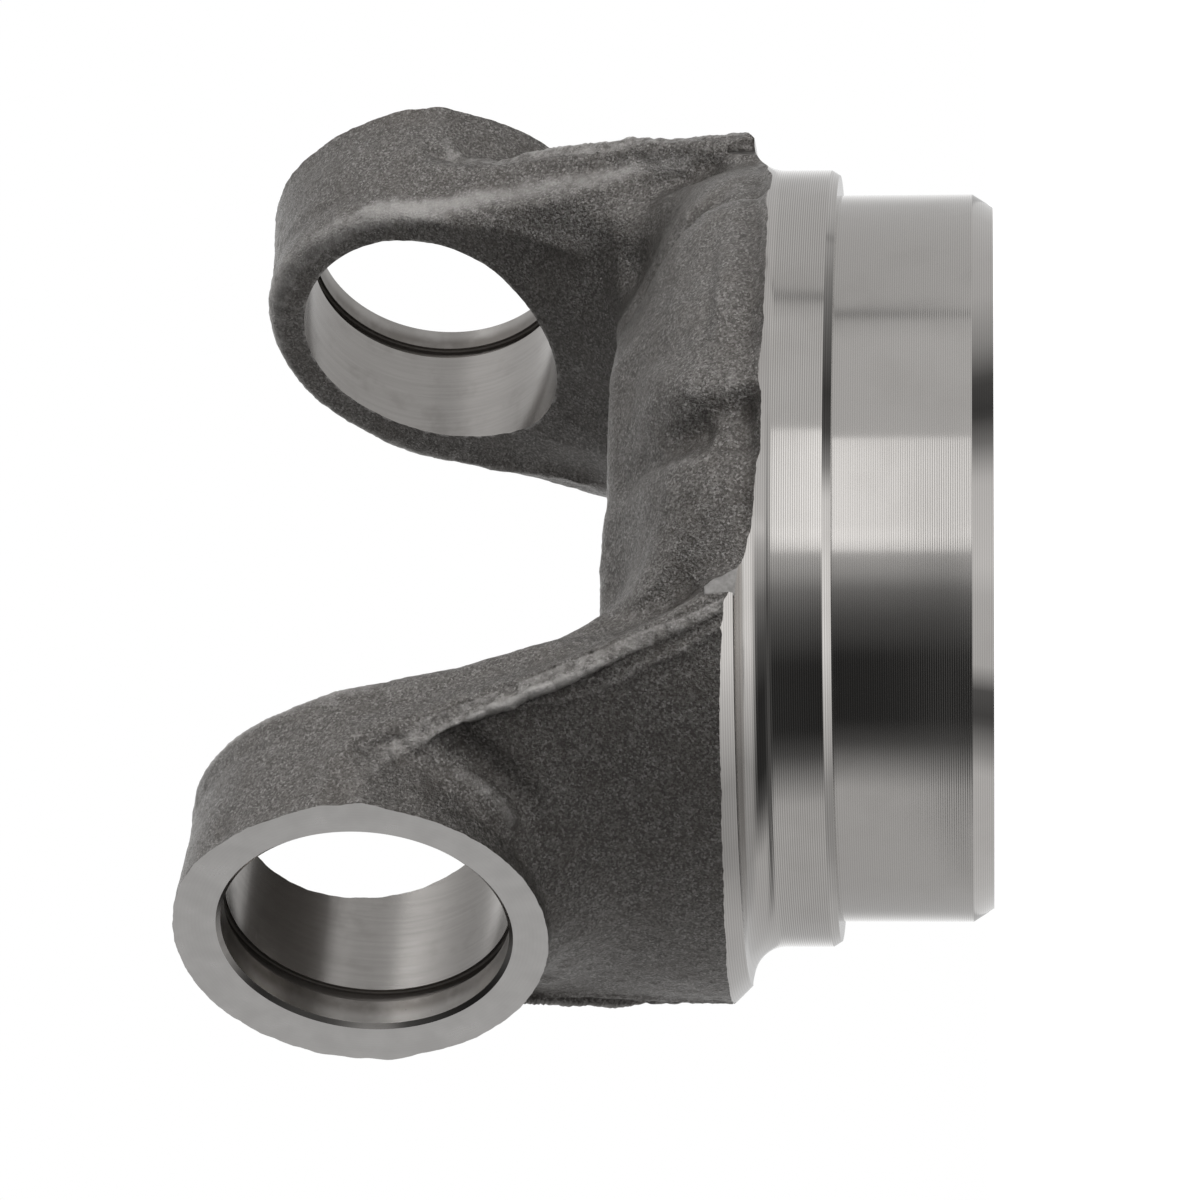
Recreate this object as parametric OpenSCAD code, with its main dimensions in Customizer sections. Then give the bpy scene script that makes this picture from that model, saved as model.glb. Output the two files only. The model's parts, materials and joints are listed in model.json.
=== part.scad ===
/* [Tube end] */
// Radius of the pilot that fits inside the tube
pilot_r = 36; // [34:0.1:37.5]
// Length of the pilot
pilot_h = 15; // [12:0.5:17]
// Width across the chamfer on the pilot's end
pilot_chamfer_r = 1.3; // [0.5:0.1:2]
// Length along the axis of that chamfer
pilot_chamfer_h = 2; // [0.5:0.1:3]
// Radius of the shoulder that the tube butts against and is welded to
shoulder_r = 38.5; // [37.8:0.1:39]
// Width across the chamfer on the shoulder
shoulder_chamfer_r = 0.5; // [0.2:0.1:1]
// Length along the axis of that chamfer
shoulder_chamfer_h = 0.8; // [0.2:0.1:1.5]
// Radius of the turned hollow between the shoulder and the arms
hollow_r = 3.4; // [2:0.1:4]
// Height of the sharp edge where that hollow ends
band_z = 23.8; // [22.5:0.1:25]
// Radius of that sharp edge, where the 45 degree band on the arms begins
band_r = 42.4; // [42:0.1:43]

/* [Recess in the tube end] */
// Radius of the forged recess at its mouth
recess_r = 25.5; // [20:0.5:29]
// Depth of the forged recess
recess_depth = 19; // [8:0.5:21]
// Draft angle of the recess wall
recess_draft = 7; // [3:1:12]
// Radius in the bottom corner of the recess
recess_corner_r = 5; // [2:0.5:7]

/* [Cross bore] */
// Height of the bore's axis above the end of the pilot
bore_z = 58.6; // [57:0.2:61]
// Radius of the bore for the bearing cap
bore_r = 13.5; // [12:0.1:14.3]
// Distance between the milled outer faces of the ears
face_span = 99.2; // [96:0.2:101]
// Depth of the snap ring groove below the bore's wall
groove_depth = 0.8; // [0.4:0.1:1.4]
// Width of the snap ring groove
groove_w = 1.5; // [1:0.1:2.2]
// Thickness of the lip between the groove and the milled face
groove_lip = 3.1; // [2:0.1:4]
// Width of the small chamfer on the bore's edges
bore_chamfer = 0.4; // [0.2:0.1:0.8]

/* [Ears] */
// Half width of an arm's parting ridge at the height of the bore's axis
head_r = 18.4; // [17.9:0.1:19.5]
// Half width of the head at the gap, smaller because of the forging draft
head_inner_r = 17.5; // [16.4:0.1:18]
// Height of an ear's tip above the bore's axis at its milled face
tip_h = 18.1; // [17:0.1:19]
// Height of the tip above the bore's axis at the gap
tip_inner_h = 16.8; // [16:0.1:18]
// Radius of the round boss that the face is milled on
boss_r = 17.7; // [16.8:0.1:18.8]
// Height of the boss's centre above the bore's axis
boss_rise = 0.4; // [0:0.1:0.8]
// Draft angle of the boss and the head, which grow towards the milled face
boss_draft = 4.5; // [3:0.5:8]
// Height of the concave foot where the boss runs out on the arm
foot_h = 4.4; // [1:0.1:5]
// Width of that foot
foot_w = 9; // [5:0.5:12]
// Radius of the rolled edge between the gap side and the flank of an ear
ear_edge_r = 2.8; // [2:0.2:5]

/* [Arms and saddle] */
// Radius of the arms' outer faces about the shaft axis
arm_r = 43.9; // [43.6:0.1:45]
// Radius to the parting ridge at the foot of an arm
ridge_r = 43.1; // [42.6:0.1:43.6]
// Growth of that radius for each millimetre of height
ridge_slope = 0.065; // [0:0.005:0.08]
// Half width of an arm at the sharp edge of the band
root_w = 28.8; // [26.5:0.1:29.5]
// Half width of an arm at the gap, in the corner with the saddle
waist_w = 14.3; // [13.5:0.1:16]
// Radius of the swelling where the root of an arm grows out of the saddle
root_r = 38.4; // [37:0.1:39.5]
// Radius of the crease between that swelling and the parting ridge
crease_r = 39.4; // [38.8:0.1:40.5]
// Angle about the shaft axis between the crease and the ridge
crease_turn = 5; // [3:0.5:8]
// Sideways offset of the forging from the axis that it was turned on
forging_offset = -0.7; // [-0.8:0.05:0.8]
// Height of the top of the saddle between the ears
saddle_z = 37; // [34:0.5:40]
// Half width of the saddle's flat top
saddle_w = 26; // [22:0.5:28]
// Radius of the saddle's rim at the middle, next to the turned hollow
rim_r = 39.4; // [39.2:0.1:40.4]
// Depth of the shallow hollow in the middle of the saddle's side
dish_depth = 1.8; // [0:0.1:2.5]
// Depth of the valleys between the ribs and the roots of the arms
valley_depth = 2.2; // [0:0.1:3]
// Distance of the two low ribs beside the hollow from the middle
rib_x = 12; // [9:0.5:15]

/* [Gap between the ears] */
// Half width of the gap at the height of the bore's axis
gap_w = 32.8; // [31:0.1:34]
// Draft of its sides there, in millimetres for each millimetre of height
gap_draft = 0.26; // [0.1:0.01:0.3]
// How much the sides bow inwards lower down
gap_bow = 0.009; // [0.004:0.001:0.012]
// Radius of the corner between the sides and the saddle
gap_corner_r = 4; // [2:0.5:8]

/* [Hidden] */
$fn = 96;
eps = 0.01;
over = 1;

// The blank around the turned and milled surfaces
blank_floor_z = 18;
blank_r = 41;
envelope_r = 60;
envelope_top_z = 95;
band_top_z = band_z + envelope_r - band_r;
face_x = face_span / 2;
boss_root_x = arm_r - 4;

// Counts of the skin's rings and of the points on each
web_rings = 12;
arm_rings = 18;
head_rings = 9;
last_ring = web_rings + arm_rings + head_rings;
upper_steps = 3;
outer_steps = 14;

// Where the rings stand: the saddle's last one, and the first one that lies level across an arm
web_end_x = 12;
web_floor_x = 36;
arm_level_z = bore_z - 12;
arm_level_len = 33;
turn_rings = 2;

// Shares and runs that shape the skin between the sizes above
ridge_ease = 0.03;
ridge_power = 8;
flank_mid = 0.45;
flank_end = 0.8;
head_taper = 0.05;
foot_share = 0.6;
rim_flare = 0.5;
belly_z = saddle_z - 8;
belly_draft = 1.9;
rib_start_x = rib_x / 3;
valley_run = 5;
crease_z = blank_floor_z + 4;
root_turn = 12;
root_start = 0.75;
root_top_z = 30;
root_rise = 0.12;
root_spread = 5.5;
waist_z = saddle_z - 3;
waist_run = 12;

// Sums, blends and curves

function mix(a, b, t) = a + (b - a) * t;
function clamp(t) = max(0, min(1, t));
function ease(t) = let(u = clamp(t)) u * u * (3 - 2 * u);
function unit(v) = v / norm(v);

// A smooth curve guided by control points: one parabola from the middle of each leg to the middle of the next
function guided(c, steps) =
    let(last = len(c) - 1)
    [for (k = [1:last - 1])
        let(a = k == 1 ? c[0] : (c[k - 1] + c[k]) / 2)
        let(b = k == last - 1 ? c[last] : (c[k] + c[k + 1]) / 2)
        for (s = [(k == 1 ? 0 : 1):steps])
            let(t = s / steps)
            (1 - t) * (1 - t) * a + 2 * t * (1 - t) * c[k] + t * t * b];

// The gap between the ears: half width at a height, and the point at a length along its outline from the middle
function gap_side(z) = let(u = z - bore_z) gap_w + gap_draft * u - gap_bow * u * u;
gap_lean = atan(gap_draft + 2 * gap_bow * (bore_z - saddle_z));
corner_turn = 90 - gap_lean;
corner_x = gap_side(saddle_z) - gap_corner_r * (1 - sin(gap_lean)) / cos(gap_lean);
corner_len = gap_corner_r * corner_turn * PI / 180;
function gap_at(len) =
    len < corner_x ? [len, 0, saddle_z] :
    len < corner_x + corner_len ?
        let(turn = (len - corner_x) / gap_corner_r * 180 / PI)
        [corner_x + gap_corner_r * sin(turn), 0, saddle_z + gap_corner_r * (1 - cos(turn))] :
    let(z = saddle_z + gap_corner_r * (1 - cos(corner_turn)) + (len - corner_x - corner_len) * cos(gap_lean))
    [gap_side(z), 0, z];

// A point by its angle about the shaft axis, radius and height
function polar(az, r, z) = [r * cos(az), r * sin(az), z];

// The parting ridge along an arm's edge: half width, radius, angle and point at a height
function ridge_w(z) =
    let(t = (bore_z - z) / (bore_z - band_z))
    head_r + (root_w - head_r) * (1 + ridge_ease) * t * t / (t + ridge_ease);
function ridge_radius(z) = ridge_r + ridge_slope * (z - band_z);
function ridge_az(z) = asin(ridge_w(z) / ridge_radius(z));
function ridge(z) = polar(ridge_az(z), ridge_radius(z), z);
web_az = ridge_az(blank_floor_z) + crease_turn;

// The side of the saddle: radius of its rim, and of its belly with the hollow, the two ribs and the valleys
function rim(az) = rim_r + rim_flare * ease((90 - az) / (90 - web_az));
function belly(az) =
    let(x = rim_r * cos(az))
    rim_r - belly_draft - dish_depth * (1 - ease((x - rib_start_x) / (rib_x - rib_start_x)))
    - valley_depth * ease((x - rib_x) / valley_run) * (1 - ease((x - rib_x - valley_run) / valley_run));

// Half a ring of the forging's skin: from the gap's centre line over the rolled edge and flank to the ridge
function flank(inner, knee, roll, belly_point, crease, end) =
    guided([inner, knee - roll, knee, knee + ear_edge_r * unit(belly_point - knee), belly_point, crease, end],
        upper_steps);

// The rest of it: from the ridge over the arm's round outer face to its centre line
function boss_foot(y, z, w) =
    let(d = norm([y, z - bore_z - boss_rise]))
    foot_h * pow(1 - clamp((d - boss_r) / foot_w), 2) * (1 - ease((abs(y) / w - foot_share) / (1 - foot_share)));
function outer_face(from) =
    let(az = atan2(from.y, from.x))
    let(r_from = norm([from.x, from.y]))
    [for (s = [1:outer_steps])
        let(t = s / outer_steps)
        let(r = mix(arm_r, r_from, pow(1 - t, ridge_power)))
        let(p = polar(az * (1 - t), r, from.z))
        p + [boss_foot(p.y, p.z, from.y), 0, 0]];
function straight(from, to) = [for (s = [1:outer_steps]) mix(from, to, s / outer_steps)];

// Rings across the saddle, from its middle to the root of an arm
function web_ring(i) =
    let(t = i / web_rings)
    let(az = mix(90, web_az, t))
    let(belly_az = mix(90, web_az - crease_turn + root_turn, t))
    let(inner = gap_at(web_end_x * t))
    let(knee = inner + [0, mix(saddle_w, knee_w(blank_floor_z), t), 0])
    let(foot = polar(az, rim(az), blank_floor_z))
    concat(
        flank(inner, knee, [0, 2 * ear_edge_r, 0],
            polar(belly_az, mix(belly(belly_az), root_r, ease((t - root_start) / (1 - root_start))), belly_z),
            polar(az, rim(az) - rim_flare, crease_z), foot),
        straight(foot, [web_floor_x * t, 0, blank_floor_z]));

// Rings up an arm, from its root to the height of the bore's axis, each named by the ridge's height
function knee_w(z) =
    mix(waist_w, head_inner_r, ease((z - waist_z) / waist_run))
    + root_spread * (1 - ease((z - blank_floor_z) / waist_run));
function arm_ring(k) =
    let(z = mix(blank_floor_z, bore_z, k / arm_rings))
    let(end = ridge(z))
    let(az = ridge_az(z))
    let(inner = z < arm_level_z
        ? gap_at(mix(web_end_x, arm_level_len, (z - blank_floor_z) / (arm_level_z - blank_floor_z)))
        : [gap_side(z), 0, z])
    let(knee = inner + [0, knee_w(z), 0])
    let(root = 1 - ease((z - root_top_z) / (arm_level_z - root_top_z)))
    let(rise = (z - blank_floor_z) * root_rise)
    let(belly_point = mix(mix(knee, end, flank_mid), polar(az + root_turn, root_r, belly_z + rise), root))
    let(crease = mix(mix(knee, end, flank_end), polar(az + crease_turn, crease_r, crease_z + rise), root))
    concat(flank(inner, knee, [0, ear_edge_r, 0], belly_point, crease, end), outer_face(end));

// Rings over the round head of an ear, out to the edge of its milled face
function head_ring(k) =
    let(a = 90 - 90 * k / head_rings)
    let(iz = bore_z + (tip_inner_h - ear_edge_r - over) * cos(a))
    let(kz = bore_z + tip_inner_h * cos(a))
    let(inner = [gap_side(iz), 0, iz])
    let(knee = [gap_side(kz), head_inner_r * sin(a) * (1 - head_taper * pow(sin(2 * a), 2)), kz])
    let(out = ease(k / turn_rings))
    let(end = mix(ridge(bore_z), [face_x + over, (boss_r + over / 10) * sin(a), bore_z + tip_h * cos(a)], out))
    concat(
        flank(inner, knee, ear_edge_r * [0, sin(a), cos(a)],
            mix(knee, end, flank_mid), mix(knee, end, flank_end), end),
        straight(end, [face_x + over, 0, iz]));

function half_ring(i) =
    i <= web_rings ? web_ring(i) :
    i <= web_rings + arm_rings ? arm_ring(i - web_rings) :
    head_ring(i - web_rings - arm_rings);

function ring(i) =
    let(h = half_ring(abs(i)))
    let(s = i < 0 ? -1 : 1)
    let(m = len(h) - 1)
    concat(
        [for (j = [0:m]) [s * h[j].x, h[j].y, h[j].z]],
        [for (j = [m - 1:-1:1]) [s * h[j].x, -h[j].y, h[j].z]]);

// The skin as forged: a bent bar of rings from one ear's tip over the saddle to the other's
module forged_skin() {
    rings = [for (i = [-last_ring:last_ring]) ring(i)];
    n = len(rings[0]);
    m = n / 2;
    top = 2 * last_ring;
    function at(i, j) =
        let(k = j % n)
        i * n + ((i == 0 || i == top) && k > m ? n - k : k);
    polyhedron(
        points = [for (r = rings) for (p = r) p + [0, forging_offset, 0]],
        faces = [for (i = [0:top - 1]) for (j = [0:n - 1])
            for (f = [
                [at(i, j), at(i, j + 1), at(i + 1, j + 1)],
                [at(i, j), at(i + 1, j + 1), at(i + 1, j)]])
                f],
        convexity = 6);
}

// The round boss on the outside of each ear, before its face is milled
module boss() {
    length = face_x + over - boss_root_x;
    translate([boss_root_x, forging_offset / 2, bore_z + boss_rise])
        rotate([0, 90, 0])
            cylinder(h = length, r1 = boss_r - length * tan(boss_draft), r2 = boss_r);
}

// Section of everything that the lathe leaves: pilot, shoulder, hollow and band, with the forging free above
module turned_section() {
    hollow_end_r = shoulder_r + hollow_r;
    polygon([
        [0, 0],
        [pilot_r - pilot_chamfer_r, 0],
        [pilot_r, pilot_chamfer_h],
        [pilot_r, pilot_h],
        [shoulder_r - shoulder_chamfer_r, pilot_h],
        [shoulder_r, pilot_h + shoulder_chamfer_h],
        [shoulder_r, band_z],
        [0, band_z]]);
    difference() {
        translate([shoulder_r - over, band_z - hollow_r])
            square([hollow_r + over, hollow_r]);
        translate([hollow_end_r, band_z - hollow_r])
            circle(r = hollow_r);
    }
    polygon([
        [0, band_z - eps],
        [band_r, band_z - eps],
        [band_r, band_z],
        [envelope_r, band_top_z],
        [envelope_r, envelope_top_z],
        [0, envelope_top_z]]);
}

// The recess forged into the tube end
module recess_section() {
    floor_r = recess_r - recess_depth * tan(recess_draft);
    difference() {
        polygon([
            [0, -over],
            [recess_r + over * tan(recess_draft), -over],
            [floor_r, recess_depth],
            [0, recess_depth]]);
        difference() {
            translate([floor_r - recess_corner_r, recess_depth - recess_corner_r])
                square([recess_corner_r * 2, recess_corner_r + over]);
            translate([floor_r - recess_corner_r, recess_depth - recess_corner_r])
                circle(r = recess_corner_r);
        }
    }
}

// One cross bore with its snap ring groove and small chamfers, cut from the gap outwards
module bore_cut() {
    groove_x = face_x - groove_lip - groove_w;
    translate([0, 0, bore_z])
        rotate([0, 90, 0]) {
            cylinder(h = face_x + over, r = bore_r);
            translate([0, 0, groove_x])
                cylinder(h = groove_w, r = bore_r + groove_depth);
            translate([0, 0, face_x - bore_chamfer])
                cylinder(h = bore_chamfer + eps, r1 = bore_r, r2 = bore_r + bore_chamfer + eps);
        }
}

module yoke() {
    color([0.33, 0.32, 0.31])
        difference() {
            intersection() {
                union() {
                    forged_skin();
                    cylinder(h = blank_floor_z + 2 * over, r = blank_r);
                    for (side = [0, 1]) mirror([side, 0, 0]) boss();
                }
                rotate_extrude() turned_section();
                translate([-face_x, -envelope_r, -over])
                    cube([face_span, 2 * envelope_r, envelope_top_z + over]);
            }
            rotate_extrude() recess_section();
            for (side = [0, 1]) mirror([side, 0, 0]) bore_cut();
        }
}

yoke();
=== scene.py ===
import json
import math
import bpy
import bmesh
from mathutils import Matrix, Vector

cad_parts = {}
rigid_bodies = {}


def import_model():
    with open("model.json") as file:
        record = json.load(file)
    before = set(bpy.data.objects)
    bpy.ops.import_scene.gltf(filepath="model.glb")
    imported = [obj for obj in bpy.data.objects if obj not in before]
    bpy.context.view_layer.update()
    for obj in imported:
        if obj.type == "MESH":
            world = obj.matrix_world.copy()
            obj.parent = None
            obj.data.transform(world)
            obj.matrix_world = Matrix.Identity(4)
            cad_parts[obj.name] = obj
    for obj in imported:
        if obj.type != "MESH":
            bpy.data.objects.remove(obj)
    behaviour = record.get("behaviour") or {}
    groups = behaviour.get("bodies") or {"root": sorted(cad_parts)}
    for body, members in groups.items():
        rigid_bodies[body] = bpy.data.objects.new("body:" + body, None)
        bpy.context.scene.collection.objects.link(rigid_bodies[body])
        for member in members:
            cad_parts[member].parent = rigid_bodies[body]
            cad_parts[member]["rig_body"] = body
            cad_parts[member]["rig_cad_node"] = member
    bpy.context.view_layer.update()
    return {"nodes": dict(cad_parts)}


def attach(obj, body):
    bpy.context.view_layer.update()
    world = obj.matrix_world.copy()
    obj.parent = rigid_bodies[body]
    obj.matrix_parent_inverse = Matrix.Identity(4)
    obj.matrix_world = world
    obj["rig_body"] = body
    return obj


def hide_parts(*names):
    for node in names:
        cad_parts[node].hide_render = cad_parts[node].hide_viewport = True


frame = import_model()

# Sizes in metres, the same as in the part's source
MM = 0.001
PILOT_R, PILOT_H = 36 * MM, 15 * MM
PILOT_CHAMFER_W, PILOT_CHAMFER_H = 1.3 * MM, 2 * MM
SHOULDER_R = 38.5 * MM
SHOULDER_CHAMFER_W, SHOULDER_CHAMFER_H = 0.5 * MM, 0.8 * MM
HOLLOW_R = 3.4 * MM
BAND_R, BAND_Z = 42.4 * MM, 23.8 * MM
HOLLOW_Z = BAND_Z - HOLLOW_R
RECESS_R, RECESS_DEPTH, RECESS_CORNER_R = 25.5 * MM, 19 * MM, 5 * MM
RECESS_DRAFT = math.radians(7)
BORE_Z, BORE_R = 58.6 * MM, 13.5 * MM
FACE_X = 49.6 * MM
GROOVE_X, GROOVE_W, GROOVE_DEPTH = 45 * MM, 1.5 * MM, 0.8 * MM
BORE_CHAMFER = 0.4 * MM
# How far the forging lies off the turning axis, and the lathe's feed, in millimetres
FORGING_Y = -0.7
FEED = 0.21

# The blank before it was machined: the arms are cut off at their roots and drawn down into a round block
BLANK_R, BLANK_TOP_Z, BLANK_FLOOR_Z = 41 * MM, 20 * MM, 17 * MM
ROOT_CUT_Z, ROOT_SPREAD = 25.8 * MM, 1.09
STOCK = 1.6 * MM
# A place between a bore's inner and outer mouth
BORE_MIDDLE_X = 0.8 * FACE_X
# What the lathe, the milling cutter and the shears take in
ENVELOPE_R, ENVELOPE_TOP_Z = 60 * MM, 90 * MM
MILL_SIZE = (20 * MM, 80 * MM, 60 * MM)
SHEARS_SIZE = (3 * MM, 3.2 * MM, 4 * MM)

# The size of the skin's mesh, the distances at which points are merged, and how near counts as touching
SKIN_MESH = 0.49 * MM
DOUBLE, SLIVER = 0.001 * MM, 0.0005 * MM
TOUCH, NEAR = 0.02 * MM, 0.1 * MM

# Finishes, by their places in the piece's list of materials
SKIN, TURNED, BORED, MILLED, SHORN = range(5)


# Modelling steps

def begin():
    if bpy.context.mode != "OBJECT":
        bpy.ops.object.mode_set(mode="OBJECT")
    bpy.ops.object.select_all(action="DESELECT")


def only(piece):
    begin()
    piece.select_set(True)
    bpy.context.view_layer.objects.active = piece


def pick(piece, test, kind="FACE"):
    """In edit mode, selects the faces, or the edges, that a test accepts."""
    only(piece)
    bpy.ops.object.mode_set(mode="EDIT")
    bpy.ops.mesh.select_mode(type=kind)
    bpy.ops.mesh.select_all(action="DESELECT")
    mesh = bmesh.from_edit_mesh(piece.data)
    for item in mesh.faces if kind == "FACE" else mesh.edges:
        if test(item):
            item.select_set(True)
    bmesh.update_edit_mesh(piece.data)


def pick_all(piece):
    only(piece)
    bpy.ops.object.mode_set(mode="EDIT")
    bpy.ops.mesh.select_all(action="SELECT")


def modify(piece, kind, **settings):
    """Adds a modifier and applies it at once."""
    only(piece)
    modifier = piece.modifiers.new(kind.lower(), kind)
    for name, value in settings.items():
        setattr(modifier, name, value)
    bpy.ops.object.modifier_apply(modifier=modifier.name)


def cut(piece, tool, operation="DIFFERENCE"):
    modify(piece, "BOOLEAN", operation=operation, solver="MANIFOLD", object=tool)
    bpy.data.objects.remove(tool)


def draw_out(x=0, z=0):
    """Extrudes what is picked."""
    bpy.ops.mesh.extrude_region_move(TRANSFORM_OT_translate={"value": (x, 0, z)})


def lathe(name, profile, segments=256):
    """A turned solid about Z: a disc drawn up through rings of (radius, height)."""
    begin()
    radius, z = profile[0]
    bpy.ops.mesh.primitive_circle_add(
        vertices=segments, radius=radius, fill_type="NGON", location=(0, 0, z))
    piece = bpy.context.object
    piece.name = name
    bpy.ops.object.transform_apply(location=True, rotation=True, scale=True)
    bpy.ops.object.mode_set(mode="EDIT")
    bpy.ops.mesh.select_all(action="SELECT")
    for next_radius, next_z in profile[1:]:
        draw_out(z=next_z - z)
        k = next_radius / radius
        bpy.ops.transform.resize(value=(k, k, 1), center_override=(0, 0, next_z))
        radius, z = next_radius, next_z
    bpy.ops.mesh.select_all(action="SELECT")
    bpy.ops.mesh.normals_make_consistent(inside=False)
    bpy.ops.object.mode_set(mode="OBJECT")
    return piece


def arc(centre_r, centre_z, radius, start, end, steps):
    angles = [math.radians(start + (end - start) * i / steps) for i in range(steps + 1)]
    return [(centre_r + radius * math.cos(a), centre_z + radius * math.sin(a)) for a in angles]


# The forging before it was machined: the CAD node with its bores closed, its ear faces built up and its
# arms drawn down

def bore_distance(point):
    return math.hypot(point.y, point.z - BORE_Z)


def in_bore_wall(face):
    x = abs(face.calc_center_median().x)
    distances = [bore_distance(corner.co) for corner in face.verts]
    wall = min(distances) > BORE_R - NEAR and max(distances) < BORE_R + GROOVE_DEPTH + NEAR
    in_groove = GROOVE_X - NEAR < x < GROOVE_X + GROOVE_W + NEAR
    return wall and x > 0.5 * FACE_X and (abs(face.normal.x) < 0.9 or in_groove)


node = frame["nodes"]["yoke"]
begin()
yoke = node.copy()
yoke.data = node.data.copy()
yoke.parent = None
yoke.name = "yoke_forging"
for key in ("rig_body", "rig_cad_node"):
    del yoke[key]
bpy.context.scene.collection.objects.link(yoke)
pick_all(yoke)
bpy.ops.mesh.remove_doubles(threshold=DOUBLE)
pick(yoke, in_bore_wall)
bpy.ops.mesh.delete(type="FACE")
mouths = ((-FACE_X, -BORE_MIDDLE_X), (-BORE_MIDDLE_X, 0), (0, BORE_MIDDLE_X), (BORE_MIDDLE_X, FACE_X))
for low, high in mouths:
    pick(yoke, lambda edge: edge.is_boundary and low - MM < edge.verts[0].co.x < high + MM, "EDGE")
    bpy.ops.mesh.edge_face_add()
for side in (-1, 1):
    pick(yoke, lambda face: (
        face.normal.x * side > 0.99 and face.calc_center_median().x * side > FACE_X - TOUCH))
    draw_out(x=side * STOCK)
pick_all(yoke)
bpy.ops.mesh.bisect(plane_co=(0, 0, ROOT_CUT_Z), plane_no=(0, 0, 1), clear_inner=True, use_fill=True)
pick(yoke, lambda face: face.normal.z < -0.99 and face.calc_center_median().z < ROOT_CUT_Z + TOUCH)
draw_out(z=BLANK_FLOOR_Z - ROOT_CUT_Z)
bpy.ops.transform.resize(value=(1, ROOT_SPREAD, 1), center_override=(0, 0, BLANK_FLOOR_Z))
pick_all(yoke)
bpy.ops.mesh.quads_convert_to_tris()
begin()

# The blank's upper edge, where the saddle flares out to the turned hollow: radius and height in millimetres
SADDLE_FLARE = ((41, 18), (41, 20.6), (39.2, 20.9), (38.4, 21.6), (37.9, 22.8), (37.6, 24.2), (37, 26))
cut(yoke, lathe("saddle_flare", [(radius * MM, z * MM) for radius, z in SADDLE_FLARE]), "UNION")

# Its skin: an even mesh, eased over
modify(yoke, "REMESH", mode="VOXEL", voxel_size=SKIN_MESH, use_smooth_shade=True)
modify(yoke, "SMOOTH", factor=0.5, iterations=8)


# What the dies and the trimming leave on it, pressed in or raised on all four sides alike

def ease(t):
    t = min(max(t, 0), 1)
    return t * t * (3 - 2 * t)


def bell(t):
    return math.exp(-t * t)


def at(stations, z):
    """Reads a table of stations, each a height and its values, at a height."""
    if z <= stations[0][0]:
        return stations[0][1:]
    for one, other in zip(stations, stations[1:]):
        if z <= other[0]:
            t = (z - one[0]) / (other[0] - one[0])
            return [u + t * (v - u) for u, v in zip(one[1:], other[1:])]
    return stations[-1][1:]


def press(piece, rise, share_of, direction="NORMAL", kind="DISPLACE", **settings):
    """Raises the skin by a rise in millimetres, shared out over its vertices by their places."""
    group = piece.vertex_groups.new(name="press")
    for vertex in piece.data.vertices:
        x, y, z = vertex.co / MM
        share = share_of(x, y - FORGING_Y, z)
        if share > 0.002:
            group.add([vertex.index], min(share, 1), "REPLACE")
    if kind == "DISPLACE":
        settings = {"mid_level": 0, "strength": rise * MM, "direction": direction, **settings}
    modify(piece, kind, vertex_group="press", **settings)
    piece.vertex_groups.remove(piece.vertex_groups["press"])


def strand(points, width, mirrored=True):
    """A share that is full on a line through points, each a place and its share, and falls off in a bell to
    its sides, on both arms alike."""
    line = [(Vector(point[:3]), point[3]) for point in points]
    low = [min(point[k] for point, _ in line) - 2.2 * width for k in range(3)]
    high = [max(point[k] for point, _ in line) + 2.2 * width for k in range(3)]

    def share(x, y, z):
        place = Vector((abs(x), abs(y) if mirrored else y, z))
        if any(place[k] < low[k] or place[k] > high[k] for k in range(3)):
            return 0
        best = 0
        for (one, full), (other, next_full) in zip(line, line[1:]):
            way = other - one
            t = min(max((place - one).dot(way) / way.length_squared, 0), 1)
            beside_line = (place - one - t * way).length / width
            best = max(best, (full + t * (next_full - full)) * bell(beside_line))
        return best
    return share


# The flash line along an arm's edge: height, its lower edge across the line, its width and its lean
FLASH = (
    (22, 3.6, 1.0, 0.18), (24.8, 4.73, 1.1, 0.22), (28.5, 6.57, 1.2, 0.27), (32.2, 8.06, 1.5, 0.34),
    (35.9, 9.82, 1.6, 0.44), (39.5, 11.38, 1.75, 0.54), (43.3, 12.8, 1.6, 0.6), (46.9, 14.3, 1.7, 0.66),
    (50.6, 15.9, 1.95, 0.6), (54.4, 17.8, 2.2, 0.5), (57.3, 20, 2.6, 0.3), (60, 21, 3, 0.1))
# The faint second line below it: height and place across
SECOND_LINE = (
    (24, 5.6), (26.2, 6.85), (28.5, 8.27), (32.2, 9.89), (35.9, 11.87), (39.6, 12.79), (43.3, 13.36),
    (46, 13.7))


def across(x, y):
    """The distance across the flash line, from the saddle's side to the arm's outer face."""
    return (abs(x) - abs(y)) / math.sqrt(2)


def on_arm_edge(x, y, z):
    return abs(x) > 22 and abs(y) > 9 and 21 < z < 64


def set_back(x, y, z):
    """The flash line's facet leans back from its lower edge, and the flank behind it follows."""
    if not on_arm_edge(x, y, z):
        return 0
    lower, width, lean = at(FLASH, z)
    t = (lower - across(x, y)) / width
    inwards = ease((math.hypot(x, y) - 34) / 6)
    return lean * width * (min(max(t, 0), 1) - ease((t - 1) / 3)) * inwards * (1 - ease((z - 58) / 5))


def flash_bead(x, y, z):
    if not on_arm_edge(x, y, z) or z > 59:
        return 0
    lower, width, _ = at(FLASH, z)
    t = (lower - across(x, y)) / width
    bead = ease(t / 0.3 + 0.7) * (1 - ease((t - 0.85) / 0.35))
    return bead * (1 - ease((z - 54) / 5)) * (math.hypot(x, y) > 40)


def second_line(x, y, z):
    if not on_arm_edge(x, y, z) or z > 47:
        return 0
    return bell((at(SECOND_LINE, z)[0] - across(x, y)) / 0.4) * (1 - ease((z - 44) / 3))


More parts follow.
